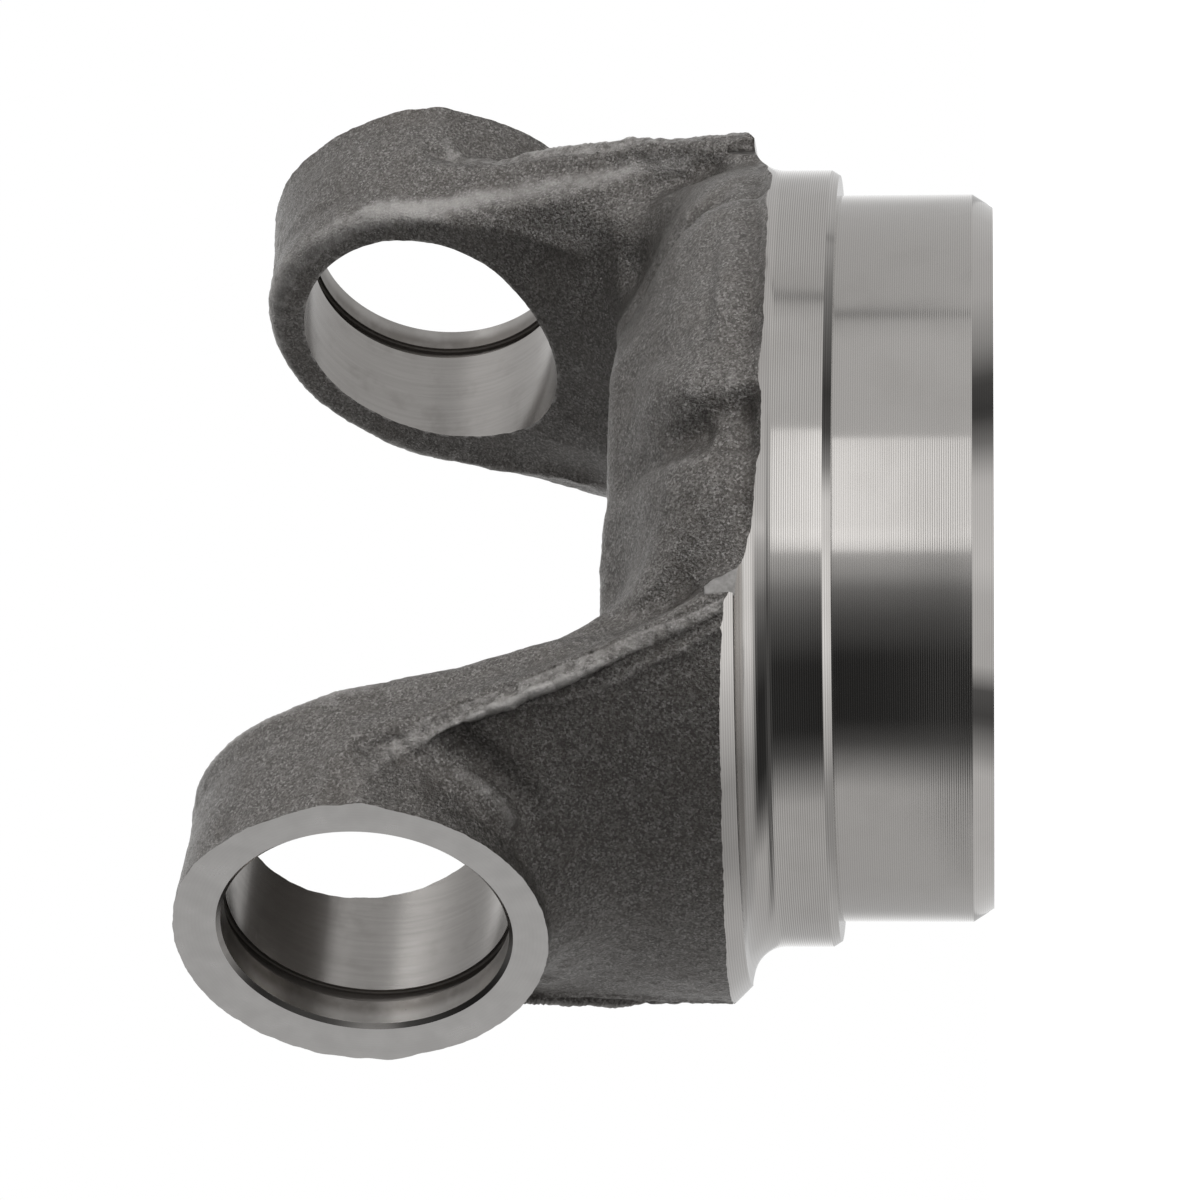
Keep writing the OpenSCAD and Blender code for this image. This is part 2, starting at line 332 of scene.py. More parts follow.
# Lines on the forging, each by places on one arm and the share at each place. First the hollow between the
# flash line and the foot of the boss.
BOSS_HOLLOW = (
    (40.6, 18.2, 50.4, 0.3), (41.6, 17.6, 48.8, 0.9), (42.2, 16.6, 47, 1), (43, 15.2, 45.1, 1),
    (43.9, 13.4, 43.5, 0.9), (44.7, 11.2, 42.5, 0.6), (45.8, 8.6, 41.6, 0.35), (46.6, 5, 40.6, 0.1))
# The round of an ear's head on its inner side, and the rim round its milled face
HEAD_ROUND = (
    (35.2, 16.5, 66.5, 0.2), (35.2, 15, 70, 0.8), (35.2, 11.5, 73.5, 1), (35.5, 7, 75.8, 1),
    (35.8, 0, 76.8, 0.5))
HEAD_RIM = (
    (48.6, 13, 70.5, 1), (48.6, 15.5, 66.5, 1), (48.6, 17, 62, 0.4))
# The flank's full edge towards the gap, and the hollow face of the gap beside it
FLANK_EDGE = (
    (33.8, 16.9, 54.2, 0.5), (33.2, 17.3, 50, 0.95), (32.8, 18.6, 45.5, 1), (33, 19.8, 41, 1),
    (32.6, 21.2, 37.6, 0.6))
GAP_FACE = (
    (31.4, 15.8, 54, 0.3), (30.6, 15.6, 50, 0.6), (28.4, 15.9, 45.5, 0.9), (26.3, 15.5, 41, 1),
    (24.6, 17, 38, 0.5))
# The gap's corner at the arm, and the crest of the saddle beside it
GAP_CORNER = (
    (30.3, 21.8, 37.7, 0.3), (28.3, 23.4, 36, 1), (25.5, 25.2, 35.6, 0.6))
GAP_CREST = (
    (13.5, 18.6, 36.6, 0.1), (15.6, 17.9, 36.5, 0.5), (18, 16.3, 36.5, 0.75), (21.1, 15.2, 36.4, 1),
    (24.5, 15, 36.8, 0.8))
# The crease where an arm's flank turns into the saddle
CREASE = (
    (31.8, 20.6, 39, 0.4), (31, 21.6, 35.2, 1), (30.4, 23.6, 31.8, 1), (29.6, 25.6, 28.6, 0.8))
# Painted highlights, along the flank's edge and at the foot of the boss
PAINTED_EDGE_HIGHLIGHT = (
    (36.6, 12.5, 68.5, 0.3), (35.6, 16, 63, 0.8), (34.6, 17.4, 58.4, 1), (35, 17.9, 54.2, 1),
    (35, 18.5, 50, 1), (34.6, 19.8, 45.5, 1), (34.2, 20.8, 41.2, 1), (34, 21.8, 37.8, 1),
    (34.3, 22.7, 35.2, 1), (32.7, 25, 29, 0.8))
PAINTED_FOOT_HIGHLIGHT = (
    (43, 16, 50.6, 0.2), (43.8, 13.6, 46.6, 0.9), (44.6, 9.6, 42.6, 1), (45.6, 6.5, 40.9, 0.8),
    (46, 3, 40, 0.3))
# The full corner of the boss above the flash line, the same corner eased over, and the place where the
# flash line climbs the boss to its milled face
BOSS_CORNER = ((41.2, 18.6, 54, 0.5), (41.6, 18, 57, 1), (43.2, 17.6, 59, 0.8))
EASED_CORNER = ((40, 19.5, 52, 0.7), (42, 18, 57, 1), (45, 17.6, 59, 1))
FLASH_CORNER = (
    (43, 17.2, 57.6, 0.5), (46, 17.4, 57.8, 1), (51, 17.4, 57.6, 1), (51, 17.6, 61, 0.8),
    (47, 17.4, 61, 0.5))
# The edge and the valley of the saddle's ribs: height, then the distances of both from the middle
RIB = (
    (22, 11.3, 15.8), (24, 11.2, 15.8), (26, 10.6, 15.8), (28, 9.5, 15.9), (29.8, 7.8, 15.9),
    (31.3, 5.5, 15.6), (33, 3.6, 14), (34.5, 3.6, 13.4), (36, 5, 12.2), (38, 7, 10))


def rib(x, y, z):
    """A low rib with a steeper inner edge, lower on the far arm."""
    if abs(y) < 14 or z < 21.5 or z > 37:
        return 0
    edge, foot = at(RIB, z)
    rise = ease((abs(x) - edge + 1) / (3 if x > 0 else 5))
    fall = 1 - ease((abs(x) - foot + 3.2) / 3.2)
    shape = rise * fall * ease((z - 21.5) / 1.5) * (1 - ease((z - 32) / 2.5))
    return shape * (1 if x > 0 else 0.6)


def valley(x, y, z):
    if abs(y) < 12 or z < 21.5 or z > 38:
        return 0
    return bell((abs(x) - at(RIB, z)[1]) / 1.5) * ease((z - 21.5) / 2) * (1 - ease((z - 34) / 4))


def rim_hollow(x, y, z):
    """The shallow hollow in the saddle beside the lathe's cut."""
    rim = bell((z - 22.9) / 0.9) * ease((math.hypot(x, y) - 33) / 3)
    return rim * (1 - ease((abs(x) - 24) / 4)) * (abs(y) > 20)


def flash_lip(x, y, z):
    """The sharp lower edge of the flash line."""
    if not on_arm_edge(x, y, z) or z > 54 or math.hypot(x, y) < 40:
        return 0
    lower, width, _ = at(FLASH, z)
    t = (lower - across(x, y)) / width
    lip = ease(t / 0.25 + 0.8) * (1 - ease((t - 0.1) / 0.9))
    return lip * ease((z - 32) / 6) * (1 - ease((z - 47) / 6))


def near_flash(face):
    x, y, z = face.calc_center_median() / MM
    y -= FORGING_Y
    if not on_arm_edge(x, y, z) or z > 60 or math.hypot(x, y) < 40:
        return False
    lower, width, _ = at(FLASH, z)
    return -1 < lower - across(x, y) < width + 1


# The most that the flash line is set back, in millimetres, and that along x and y alike
SET_BACK = 1.2
SET_BACK_EACH = SET_BACK * math.sqrt(0.5)

pick(yoke, near_flash)
bpy.ops.mesh.subdivide(number_cuts=1)
begin()
for side in (-1, 1):
    for k in (0, 1):
        press(yoke, -side * SET_BACK_EACH,
              lambda *place: set_back(*place) / SET_BACK if place[k] * side > 0 else 0, "XY"[k])
press(yoke, 0.9, strand(BOSS_CORNER, width=2.6))
press(yoke, 0, strand(EASED_CORNER, width=3.2), kind="SMOOTH", factor=0.8, iterations=25)
press(yoke, 0.55, strand(FLASH_CORNER, width=2))
press(yoke, 1.0, strand(HEAD_ROUND, width=3.5, mirrored=False))
press(yoke, -0.45, strand(HEAD_RIM, width=3, mirrored=False))
press(yoke, 1.1, strand(FLANK_EDGE, width=2))
press(yoke, -2.1, strand(GAP_FACE, width=4.4))
press(yoke, -0.9, strand(GAP_CORNER, width=2.6))
press(yoke, 0.9, strand(GAP_CREST, width=3))
press(yoke, -0.7, strand(CREASE, width=1.8))
press(yoke, 0.2, flash_bead)
press(yoke, 0.6, flash_lip)
press(yoke, 0.25, second_line)
press(yoke, -1.3, strand(BOSS_HOLLOW, width=1.5))
press(yoke, 0.4, rib)
press(yoke, -0.7, valley)
press(yoke, -0.5, rim_hollow)


# The roughness of scale and of worn dies

def grain(name, size, detail=1):
    """A displacement by clouds of a size in millimetres."""
    texture = bpy.data.textures.new(name, "CLOUDS")
    texture.noise_scale = size * MM
    texture.noise_depth = detail
    return {"texture": texture, "texture_coords": "LOCAL", "mid_level": 0.5}


modify(yoke, "DISPLACE", strength=0.18 * MM, **grain("die_wear", 7))
press(yoke, 0.45, flash_bead, **grain("torn_flash", 2.6))
press(yoke, 0.28, flash_bead, **grain("torn_flash", 1.2))
modify(yoke, "DISPLACE", strength=0.2 * MM, **grain("scale_pits", 1.3))
modify(yoke, "DISPLACE", strength=0.1 * MM, **grain("scale_specks", 0.6, detail=0))


# Where the scale is off, and where highlights and shade are painted on, stored at each vertex for the
# material to read

def mark(piece, name, share_of):
    stored = piece.data.attributes.new(name, "FLOAT", "POINT")
    for vertex in piece.data.vertices:
        stored.data[vertex.index].value = share_of(vertex)


def standing_out(piece, iterations):
    """How far each vertex stands out of the same surface eased over, in millimetres."""
    eased = piece.copy()
    eased.data = piece.data.copy()
    bpy.context.scene.collection.objects.link(eased)
    modify(eased, "SMOOTH", factor=0.6, iterations=iterations)
    places = [vertex.co.copy() for vertex in eased.data.vertices]
    bpy.data.objects.remove(eased)
    return lambda vertex: (vertex.co - places[vertex.index]).dot(vertex.normal) / MM


flash_end = strand(FLASH_CORNER, width=1.6)
# Shares of the painted highlights along the flank's edge and at the foot of the boss
painted_edge_highlight, painted_foot_highlight = strand(PAINTED_EDGE_HIGHLIGHT, width=1.5), strand(PAINTED_FOOT_HIGHLIGHT, width=1.4)
stands_out = standing_out(yoke, 24)


def trimmed(vertex):
    """The flash line, where the trimming die left barer steel."""
    x, y, z = vertex.co / MM
    return max(flash_bead(x, y - FORGING_Y, z), 0.45 * flash_end(x, y - FORGING_Y, z))


def wear_and_painted_light_of(vertex):
    """Edges and grains that stand out, where the scale has come off and a highlight is partly painted;
    hollows below zero, for painted shade; and the painted highlights along the flank's edge and the boss's
    foot.
    """
    x, y, z = vertex.co / MM
    place = x, y - FORGING_Y, z
    # Painted highlights, stronger along the far arm's edge
    painted_highlights = (0.32 if x < 0 else 0.12) * painted_edge_highlight(*place) + 0.15 * painted_foot_highlight(*place)
    return stands_out(vertex) + painted_highlights


mark(yoke, "trimmed", trimmed)
mark(yoke, "wear", wear_and_painted_light_of)

# Machining: the blank for the tube end, the lathe, the recess, the bores with their grooves, and the
# milled faces
cut(yoke, lathe("blank", [(BLANK_R, -MM), (BLANK_R, BLANK_TOP_Z)]), "UNION")
turned_profile = (
    [(PILOT_R - PILOT_CHAMFER_W, 0), (PILOT_R, PILOT_CHAMFER_H), (PILOT_R, PILOT_H),
     (SHOULDER_R - SHOULDER_CHAMFER_W, PILOT_H), (SHOULDER_R, PILOT_H + SHOULDER_CHAMFER_H)]
    + arc(SHOULDER_R + HOLLOW_R, HOLLOW_Z, HOLLOW_R, 180, 90, 14)
    + [(BAND_R, BAND_Z), (ENVELOPE_R, BAND_Z + ENVELOPE_R - BAND_R), (ENVELOPE_R, ENVELOPE_TOP_Z)])
cut(yoke, lathe("lathe_envelope", turned_profile), "INTERSECT")
floor_r = RECESS_R - RECESS_DEPTH * math.tan(RECESS_DRAFT)
wall_end = (floor_r + 0.1 * RECESS_CORNER_R, RECESS_DEPTH - 5.4 * MM)
recess_profile = (
    [(RECESS_R + MM * math.tan(RECESS_DRAFT), -MM), wall_end]
    + arc(floor_r - RECESS_CORNER_R, RECESS_DEPTH - RECESS_CORNER_R, RECESS_CORNER_R, 4, 86, 8)
    + [(5 * MM, RECESS_DEPTH)])
cut(yoke, lathe("recess_die", recess_profile, 128))
chamfer_r, groove_r, groove_end = BORE_R + BORE_CHAMFER, BORE_R + GROOVE_DEPTH, GROOVE_X + GROOVE_W
bore_profile = [
    (BORE_R, 0), (BORE_R, GROOVE_X), (groove_r, GROOVE_X), (groove_r, groove_end), (BORE_R, groove_end),
    (BORE_R, FACE_X - BORE_CHAMFER), (chamfer_r, FACE_X), (chamfer_r + 3 * MM, FACE_X + 3 * MM)]
for side in (-1, 1):
    tool = lathe("boring_bar", bore_profile)
    turn = Matrix.Rotation(math.radians(90 * side), 4, "Y")
    tool.data.transform(Matrix.Translation((0, 0, BORE_Z)) @ turn)
    cut(yoke, tool)
    begin()
    mill_x = side * (FACE_X + MILL_SIZE[0] / 2)
    bpy.ops.mesh.primitive_cube_add(size=1, location=(mill_x, 0, BORE_Z), scale=MILL_SIZE)
    mill = bpy.context.object
    bpy.ops.object.transform_apply(location=True, rotation=True, scale=True)
    cut(yoke, mill)

# The flash line's ends at the band, shorn off flat
shorn_planes = []
for side_x in (-1, 1):
    for side_y in (-1, 1):
        normal = Vector((side_x * 0.5, side_y * 0.86, 0.02)).normalized()
        point = Vector((side_x * 30.4, side_y * 27.7 + FORGING_Y, 24.9)) * MM
        begin()
        middle = point + normal * SHEARS_SIZE[2] / 2
        bpy.ops.mesh.primitive_cube_add(size=1, location=middle, scale=SHEARS_SIZE)
        shears = bpy.context.object
        shears.rotation_euler = normal.to_track_quat("Z", "Y").to_euler()
        bpy.ops.object.transform_apply(location=True, rotation=True, scale=True)
        cut(yoke, shears)
        shorn_planes.append((point, normal))

# Slivers that the cuts left are merged away
pick_all(yoke)
bpy.ops.mesh.remove_doubles(threshold=SLIVER)
begin()


# Finishes by place

def profile_distance(r, z):
    """How far a point lies from the surfaces that the lathe leaves."""
    centre_r = SHOULDER_R + HOLLOW_R
    if z < PILOT_H + MM:
        return 0
    if z < HOLLOW_Z:
        return abs(r - SHOULDER_R)
    if r < centre_r - 0.01 * MM:
        return abs(math.hypot(r - centre_r, z - HOLLOW_Z) - HOLLOW_R)
    return min(abs(z - BAND_Z) + max(r - BAND_R, 0), abs(z - BAND_Z - r + BAND_R) / math.sqrt(2))


def finish_of(face):
    c = face.center
    x, r = abs(c.x), math.hypot(c.x, c.y)
    corners = [yoke.data.vertices[k].co for k in face.vertices]
    if x > FACE_X - TOUCH:
        return MILLED
    bore = max(bore_distance(corner) for corner in corners)
    in_groove = GROOVE_X - TOUCH < x < groove_end + TOUCH and bore < groove_r + TOUCH
    in_chamfer = x > FACE_X - BORE_CHAMFER and bore < chamfer_r + TOUCH
    if x > 0.5 * FACE_X and (bore < BORE_R + TOUCH or in_chamfer or in_groove):
        return BORED
    if r < RECESS_R + NEAR and TOUCH < c.z < RECESS_DEPTH + NEAR:
        return SKIN
    for point, normal in shorn_planes:
        if all(abs((corner - point).dot(normal)) < 0.01 * MM for corner in corners):
            return SHORN
    turned = max(profile_distance(math.hypot(corner.x, corner.y), corner.z) for corner in corners)
    return TURNED if turned < TOUCH else SKIN


for face in yoke.data.polygons:
    face.use_smooth = True
finishes = [finish_of(face) for face in yoke.data.polygons]


# Materials

class Sum:
    """A socket or number in a shader sum, so that an expression on values adds its Math nodes."""

    def __init__(self, shop, value):
        self.shop, self.value = shop, value

    def _with(self, operation, other, turned=False):
        other = other.value if isinstance(other, Sum) else other
        pair = (other, self.value) if turned else (self.value, other)
        return self.shop.node("ShaderNodeMath", {"operation": operation}, pair)

    def __add__(self, other): return self._with("ADD", other)
    def __radd__(self, other): return self._with("ADD", other)
    def __sub__(self, other): return self._with("SUBTRACT", other)
    def __rsub__(self, other): return self._with("SUBTRACT", other, True)
    def __mul__(self, other): return self._with("MULTIPLY", other)
    def __rmul__(self, other): return self._with("MULTIPLY", other)
    def __truediv__(self, other): return self._with("DIVIDE", other)
    def __rtruediv__(self, other): return self._with("DIVIDE", other, True)
    def __pow__(self, other): return self._with("POWER", other)
    def most(self, other): return self._with("MAXIMUM", other)
    def sine(self): return self._with("SINE", 0)
    def size(self): return self._with("ABSOLUTE", 0)
    def atan2(self, other): return self._with("ARCTAN2", other)
    def root(self): return self._with("SQRT", 0)

    def between(self, low, high):
        """0 at low, 1 at high, smooth in between."""
        return self.shop.node("ShaderNodeMapRange", {"interpolation_type": "SMOOTHSTEP", "clamp": True},
                              (self.value, low, high, 0, 1))


class Bench:
    """A node tree, with one method that adds any node."""

    def __init__(self, tree):
        self.tree = tree

    def node(self, kind, settings, inputs, output=0):
        made = self.tree.nodes.new(kind)
        for name, value in settings.items():
            if name == "stops":
                ramp = made.color_ramp
                while len(ramp.elements) < len(value):
                    ramp.elements.new(1)
                for element, (place, colour) in zip(ramp.elements, value):
                    element.position, element.color = place, colour
            else:
                setattr(made, name, value)
        named = inputs.items() if isinstance(inputs, dict) else enumerate(inputs)
        for key, value in named:
            value = value.value if isinstance(value, Sum) else value
            if isinstance(value, bpy.types.NodeSocket):
                self.tree.links.new(value, made.inputs[key])
            else:
                made.inputs[key].default_value = value
        if output is None:
            return [Sum(self, socket) for socket in made.outputs]
        return Sum(self, made.outputs[output])

    def ramp(self, turn, levels):
        """Reads levels of grey by an angle in degrees."""
        stops = [((angle + 180) / 360, (level, level, level, 1)) for angle, level in levels]
        return self.node("ShaderNodeValToRGB", {"stops": stops}, {0: (turn + 180) / 360})

    def rays(self):
        """Is Camera Ray and Is Glossy Ray."""
        made = self.node("ShaderNodeLightPath", {}, (), output=None)
        return made[0], made[3]


class Finish(Bench):
    """A material's node tree, on Object coordinates."""

    def __init__(self, name, metallic, roughness):
        self.material = bpy.data.materials.new(name)
        self.material.use_nodes = True
        super().__init__(self.material.node_tree)
        self.shader = self.tree.nodes["Principled BSDF"]
        self.shader.inputs["Metallic"].default_value = metallic
        self.shader.inputs["Roughness"].default_value = roughness
        self.place = self.node("ShaderNodeTexCoord", {}, (), output="Object").value
        parts = self.node("ShaderNodeSeparateXYZ", {}, (self.place,), output=None)
        self.x, self.y, self.z = [part * (1 / MM) for part in parts]

    def from_bore(self):
        """The distance from the axis of the bores, in millimetres."""
        return (self.y ** 2 + (self.z - BORE_Z / MM) ** 2).root()

    def noise(self, scale, detail=3, roughness=0.55, place=None):
        """Noise about 0.5, with its scale in lumps to the millimetre."""
        return self.node("ShaderNodeTexNoise", {}, {
            "Vector": place or self.place, "Scale": scale / MM, "Detail": detail, "Roughness": roughness})

    def mix(self, share, first, second):
        return self.node("ShaderNodeMix", {"data_type": "RGBA"}, {0: share, 6: first, 7: second}, output=2)

    def stretch(self, x, y, z):
        return self.node("ShaderNodeVectorMath", {"operation": "MULTIPLY"}, {0: self.place, 1: (x, y, z)})

    def feed(self, **sockets):
        for name, value in sockets.items():
            self.tree.links.new(value.value, self.shader.inputs[name.replace("_", " ")])

    def bump(self, height, distance, strength=1.0):
        """A bump by a height from 0 to 1 that stands for a distance in millimetres."""
        made = self.node(
            "ShaderNodeBump", {}, {"Height": height, "Distance": distance * MM, "Strength": strength})
        self.feed(Normal=made)


def blended(one, other, share):
    return one + (other - one) * share


def grey(level, warmth=0.0):
    """A colour written as the eye sees it, 0 to 255, made linear."""
    def linear(v):
        v = v / 255
        return v / 12.92 if v <= 0.04045 else ((v + 0.055) / 1.055) ** 2.4
    return (linear(level + warmth), linear(level), linear(level - warmth), 1)


PALE_STEEL, GREY_STEEL = grey(190, 3), grey(150, 3)

skin = Finish("forged_scale", metallic=0.9, roughness=0.4)
fine = skin.noise(3.4, 5, 0.7)
grains = skin.node("ShaderNodeTexVoronoi", {"feature": "F1"}, {"Vector": skin.place, "Scale": 5.2 / MM},
                   output="Color")
coarse = skin.noise(0.3)
chips = skin.noise(0.9, 3, 0.6)
wear = skin.node("ShaderNodeAttribute", {"attribute_name": "wear"}, (), output="Fac")
bare = skin.node("ShaderNodeAttribute", {"attribute_name": "trimmed"}, (), output="Fac")
bore_gap = skin.from_bore() - BORE_R / MM
grit = fine * 0.6 + grains * 0.4
skin_tone = skin.mix(grit.between(0.36, 0.64), grey(90, 3), grey(132, 3))
skin_tone = skin.mix(grit.between(0.58, 0.7) * 0.4, skin_tone, PALE_STEEL)
skin_tone = skin.mix(coarse.between(0.4, 0.7) * 0.3, skin_tone, grey(96, 5))
# Painted shade in the hollows, where the skin lies below the same surface eased over
skin_tone = skin.mix((0 - wear).between(0.04, 0.4) * 0.6, skin_tone, grey(58, 4))
# Edges that stand out made paler, partly scale come off and partly a painted highlight, with the painted
# highlights along the flank's edge and the boss's foot
skin_tone = skin.mix(wear.between(0.08, 0.36) * (0.35 + fine * 0.7), skin_tone, PALE_STEEL)
torn = bare.between(0.2, 0.7) * (0.2 + chips.between(0.4, 0.62) * 0.8) * 0.42
skin_tone = skin.mix(torn, skin_tone, grey(196, 3))
chipped = (1 - bore_gap.between(0.1, 0.35)) * chips.between(0.45, 0.6) * 0.6
skin_tone = skin.mix(chipped, skin_tone, grey(200, 3))
skin.feed(Base_Color=skin_tone, Roughness=0.25 + fine * 0.2)
skin.bump(grit, 0.28)

turned = Finish("turned_steel", metallic=1.0, roughness=0.13)
chatter = turned.noise(1.1, 2, 0.5, turned.stretch(0.02, 0.02, 1))
feed_lines = (turned.z * (2 * math.pi / FEED) + chatter * 1.5).sine() * 0.5 + 0.5
scuffs = turned.noise(0.12, 3, 0.6)
above_pilot = turned.z.between(PILOT_H / MM + 0.3, PILOT_H / MM + 0.5)
on_shoulder = above_pilot * (1 - turned.z.between(HOLLOW_Z / MM, HOLLOW_Z / MM + 1))
turned_tone = turned.mix(on_shoulder, grey(186, 3), grey(200, 3))
turned_tone = turned.mix(feed_lines * (0.45 + on_shoulder * 0.4), turned_tone, GREY_STEEL)
turned_tone = turned.mix(scuffs.between(0.45, 0.75) * 0.2, turned_tone, grey(150, 4))
turned.feed(Base_Color=turned_tone, Roughness=0.06 + scuffs * 0.05 + chatter * 0.03)
turned.bump(feed_lines * 0.8 + chatter * 0.5, 0.0025)

# The land is the wall between the groove and the chamfer
bored = Finish("bored_steel", metallic=1.0, roughness=0.2)
honing = bored.noise(3.0, 2, 0.5, bored.stretch(1, 0.04, 0.04))
smears = bored.noise(0.35, 3, 0.6)
depth = bored.x.size()
land_start, land_end = groove_end / MM, (FACE_X - BORE_CHAMFER) / MM
land = depth.between(land_start - 0.05, land_start + 0.05) * (1 - depth.between(land_end - 0.1, land_end))
land_light = depth.between(land_start + 0.7, land_start + 2.1) * 0.7 + smears.between(0.4, 0.7) * 0.3
land_tone = bored.mix(land_light, grey(112, 4), grey(165, 3))
ring = bored.from_bore() - BORE_R / MM
# The groove is painted darker as shade, with a painted glint partway down its walls
groove = ring.between(0.1, 0.15) * (1 - depth.between(land_start + 1.5, land_start + 1.6))
glint = ring.between(0.25, 0.35) * (1 - ring.between(0.5, 0.6))
bored_tone = bored.mix(honing.between(0.3, 0.7), grey(154, 3), grey(160, 3))
bored_tone = bored.mix(smears.between(0.5, 0.75) * 0.25, bored_tone, grey(120, 4))
bored_tone = bored.mix(land, bored_tone, land_tone)
bored_tone = bored.mix(groove, bored_tone, bored.mix(glint, grey(130, 4), PALE_STEEL))
bored.feed(Base_Color=bored_tone, Roughness=0.16 + smears * 0.12 + land * 0.08 + groove * 0.35)
bored.bump(honing, 0.002)

milled = Finish("milled_steel", metallic=1.0, roughness=0.3)
swirl = (milled.from_bore() * 18).sine() * 0.5 + 0.5
clouds = milled.noise(0.4)
milled_tone = milled.mix(swirl * 0.15 + clouds.between(0.3, 0.7) * 0.4, grey(196, 2), grey(182, 2))
milled.feed(Base_Color=milled_tone, Roughness=0.24 + clouds * 0.1)
milled.bump(swirl, 0.001, 0.6)

shorn = Finish("shorn_flash", metallic=1.0, roughness=0.42)
shorn.feed(Base_Color=shorn.mix(shorn.noise(1.5).between(0.3, 0.7), grey(130, 2), grey(155, 2)))

yoke.data.materials.clear()
for finish in (skin, turned, bored, milled, shorn):
    yoke.data.materials.append(finish.material)
for face, finish in zip(yoke.data.polygons, finishes):
    face.material_index = finish


# Crisp edges where the machining stops, and between machined faces that meet at an angle

def crisp(edge):
    if len(edge.link_faces) != 2:
        return True
    one, other = edge.link_faces
    if one.material_index != other.material_index:
        return True
    return one.material_index != SKIN and one.normal.angle(other.normal) > math.radians(20)


pick(yoke, crisp, "EDGE")
bpy.ops.mesh.mark_sharp()
begin()

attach(yoke, "root")
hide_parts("yoke")


# Floor, light and camera. The tables give levels of grey by the angle about the shaft axis from the
# camera's direction, as the turned steel mirrors them: the studio's light, and the painted reflections that
# the floor glows with for the steel. The first is the pale studio, with a dark stretch beside the camera.
SURROUNDINGS = (
    (-180, 0.6), (-150, 0.58), (-115, 0.62), (-76, 0.66), (-67, 0.36), (-59, 0.11), (-51, 0.03),
    (-30, 0.03), (-22, 0.09), (-17.5, 0.12), (-9, 0.25), (-4, 0.5), (1, 0.62), (4, 0.8), (6.5, 1),
    (10, 0.86), (30, 0.8), (40, 0.72), (72, 0.72), (79, 0.62), (82, 0.3), (85, 0.64), (130, 0.66),
    (180, 0.68))
# Painted reflections for the floor close under the pilot's edge and under the shoulder's
UNDER_THE_EDGE = (
    (-180, 0.75), (-36, 0.8), (-32, 0.45), (-26, 0.1), (-21, 0.15), (-17, 0.75), (-6, 0.8), (-1, 1),
    (12, 0.9), (18, 0.3), (23, 0.07), (29, 0.1), (36, 0.45), (46, 0.7), (180, 0.75))
UNDER_THE_SHOULDER = (
    (-180, 0.5), (-60, 0.5), (-48, 0.5), (-28, 0.9), (-18, 1.2), (0, 1.25), (12, 1.1), (18, 0.4), (25, 0.1),
    (34, 0.06), (45, 0.16), (56, 0.25), (75, 0.42), (100, 0.5), (180, 0.55))
# What stands above the level of the first table, for the studio's light, and the painted reflection for the
# floor far below it
HIGHER = (
    (-180, 0.75), (-150, 0.5), (-110, 0.3), (-90, 0.12), (-20, 0.07), (10, 0.1), (24, 0.25), (38, 0.9),
    (58, 1.2), (72, 1.0), (88, 0.88), (105, 0.85), (135, 0.95), (160, 0.9), (180, 0.75))
LOWER = (
    (-180, 0.65), (-120, 0.6), (-100, 0.3), (-80, 0.12), (-10, 0.1), (12, 0.5), (60, 0.7), (180, 0.65))
# Where one table passes into another on the floor, in millimetres from the shaft axis
EDGE_TO_SHOULDER, SHOULDER_TO_LEVEL = (37.5, 38.5), (48, 60)
LEVEL_TO_LOWER, LOWER_TO_LEVEL = (90, 130), (170, 280)
# The camera's direction from the shaft axis
CAMERA_X, CAMERA_Y = 0.7145, 0.6997


def turn_from_camera(x, y):
    return (y * CAMERA_X - x * CAMERA_Y).atan2(x * CAMERA_X + y * CAMERA_Y) * math.degrees(1)


bpy.ops.mesh.primitive_plane_add(size=4, location=(0, 0, 0))
floor = bpy.context.object
floor.name = "floor"
bpy.ops.object.transform_apply(location=True, rotation=True, scale=True)
floor_paint = bpy.data.materials.new("floor_paint")
floor_paint.use_nodes = True
# White where it is seen, and to the polished steel it glows in painted reflections, pale and dark by angle
# and by distance from the shaft axis, the outer ones as the studio round it
paper = floor_paint.node_tree.nodes["Principled BSDF"]
paper.inputs["Roughness"].default_value = 0.9
paper.inputs["Emission Strength"].default_value = 1.0
sheet = Bench(floor_paint.node_tree)
seen, glossy = sheet.rays()
spot = sheet.node("ShaderNodeTexCoord", {}, (), output="Object")
spot_x, spot_y, _ = sheet.node("ShaderNodeSeparateXYZ", {}, (spot,), output=None)
reach = (spot_x ** 2 + spot_y ** 2).root() / MM
turn = turn_from_camera(spot_x, spot_y)
painted_reflection = blended(sheet.ramp(turn, UNDER_THE_EDGE), sheet.ramp(turn, UNDER_THE_SHOULDER),
               reach.between(*EDGE_TO_SHOULDER))
painted_reflection = blended(painted_reflection, sheet.ramp(turn, SURROUNDINGS), reach.between(*SHOULDER_TO_LEVEL))
painted_reflection = blended(painted_reflection, sheet.ramp(turn, LOWER),
               reach.between(*LEVEL_TO_LOWER) * (1 - reach.between(*LOWER_TO_LEVEL)))
sheet.tree.links.new((0.8 * (1 - glossy)).value, paper.inputs["Base Color"])
sheet.tree.links.new((seen * 0.75 + glossy * painted_reflection).value, paper.inputs["Emission Color"])
floor.data.materials.append(floor_paint)

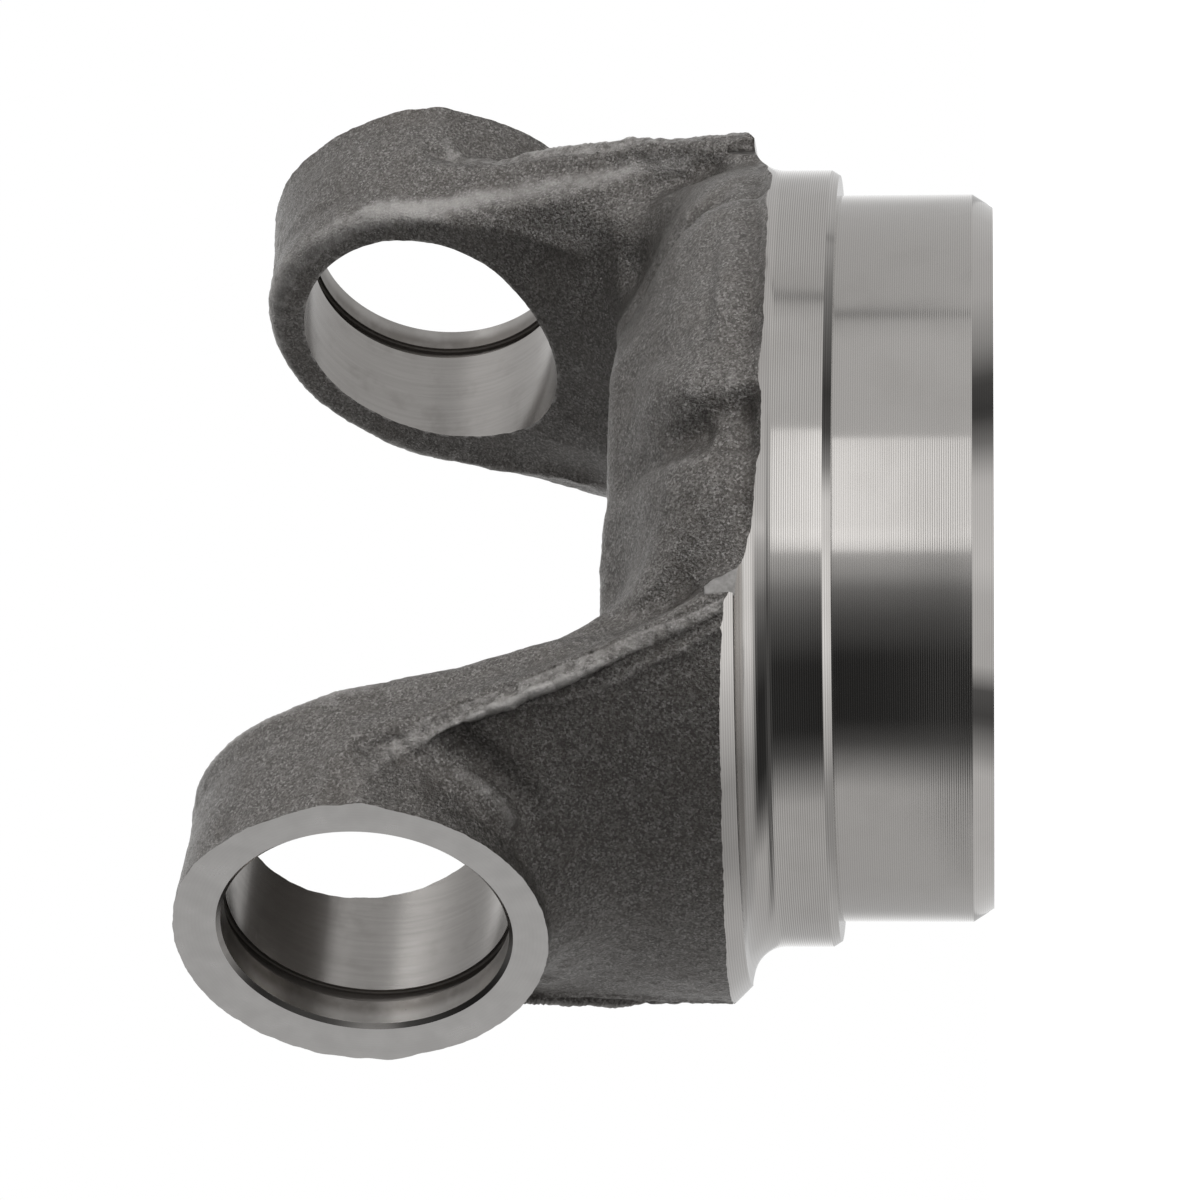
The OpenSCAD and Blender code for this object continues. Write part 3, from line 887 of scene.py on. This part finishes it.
# The studio: pale grey all round, darker overhead, with a white backdrop behind the yoke
world = bpy.data.worlds.new("studio")
bpy.context.scene.world = world
world.use_nodes = True
studio = Bench(world.node_tree)
look = studio.node("ShaderNodeTexCoord", {}, (), output="Generated")
look_x, look_y, look_z = studio.node("ShaderNodeSeparateXYZ", {}, (look,), output=None)
from_camera = turn_from_camera(look_x, look_y)
backdrop = from_camera.size().between(146, 172)
studio_light = blended(
    studio.ramp(from_camera, SURROUNDINGS), studio.ramp(from_camera, HIGHER), look_z.between(0.2, 0.4))
studio_light = studio_light * (1 - 0.72 * look_z.between(0.55, 0.92))
seen, glossy = studio.rays()
white = seen.most(glossy * backdrop)
studio_light = studio_light * (1 - white) + white
background = world.node_tree.nodes["Background"]
background.inputs["Color"].default_value = (1, 1, 1, 1)
world.node_tree.links.new(studio_light.value, background.inputs["Strength"])


def lamp(name, place, aim, width, height, power):
    light = bpy.data.lights.new(name, "AREA")
    light.shape, light.size, light.size_y, light.energy = "RECTANGLE", width, height, power
    thing = bpy.data.objects.new(name, light)
    bpy.context.scene.collection.objects.link(thing)
    thing.location = place
    thing.rotation_euler = (Vector(aim) - Vector(place)).to_track_quat("-Z", "Y").to_euler()
    return thing


def beside(turn, distance, z):
    """A place by its angle about the shaft axis from the camera's direction, its distance and height."""
    angle = math.atan2(CAMERA_Y, CAMERA_X) + math.radians(turn)
    return distance * math.cos(angle), distance * math.sin(angle), z


lamp("low_soft_box", beside(19.5, 0.8, 0.17), (0, 0, 0.17), width=0.5, height=0.34, power=0.36)
lamp("high_soft_box", beside(70, 0.75, 0.42), (0, 0, 0.04), width=0.24, height=0.3, power=1.6)
fill = lamp("side_fill", beside(70, 0.9, 0.3), (0, 0, 0.04), width=0.5, height=0.5, power=3)
fill.visible_glossy = False

# The camera fitted to the photograph. There it stands at the height of the floor, so here it is raised a
# little to see over it, and tilted to look at the same place.
CAMERA_PLACE = Vector((360.937, 353.648, -0.496)) * MM
CAMERA_RISE, CAMERA_DISTANCE = 1.1 * MM, 0.505
FOCAL_LENGTH, SENSOR_WIDTH = 152.306, 36
right = Vector((-0.053813, -0.056879, -0.996930))
down = Vector((0.705687, -0.708520, 0.002332))
ahead = Vector((-0.706477, -0.703395, 0.078266))
camera_data = bpy.data.cameras.new("photo_camera")
camera_data.lens, camera_data.sensor_width = FOCAL_LENGTH, SENSOR_WIDTH
camera_data.clip_start, camera_data.clip_end = 0.01, 20
camera = bpy.data.objects.new("photo_camera", camera_data)
bpy.context.scene.collection.objects.link(camera)
aim = Matrix.Rotation(CAMERA_RISE / CAMERA_DISTANCE, 3, down) @ Matrix((right, -down, -ahead)).transposed()
camera.matrix_world = Matrix.Translation(CAMERA_PLACE + Vector((0, 0, CAMERA_RISE))) @ aim.to_4x4()
bpy.context.scene.camera = camera
bpy.context.scene.view_settings.view_transform = "Standard"
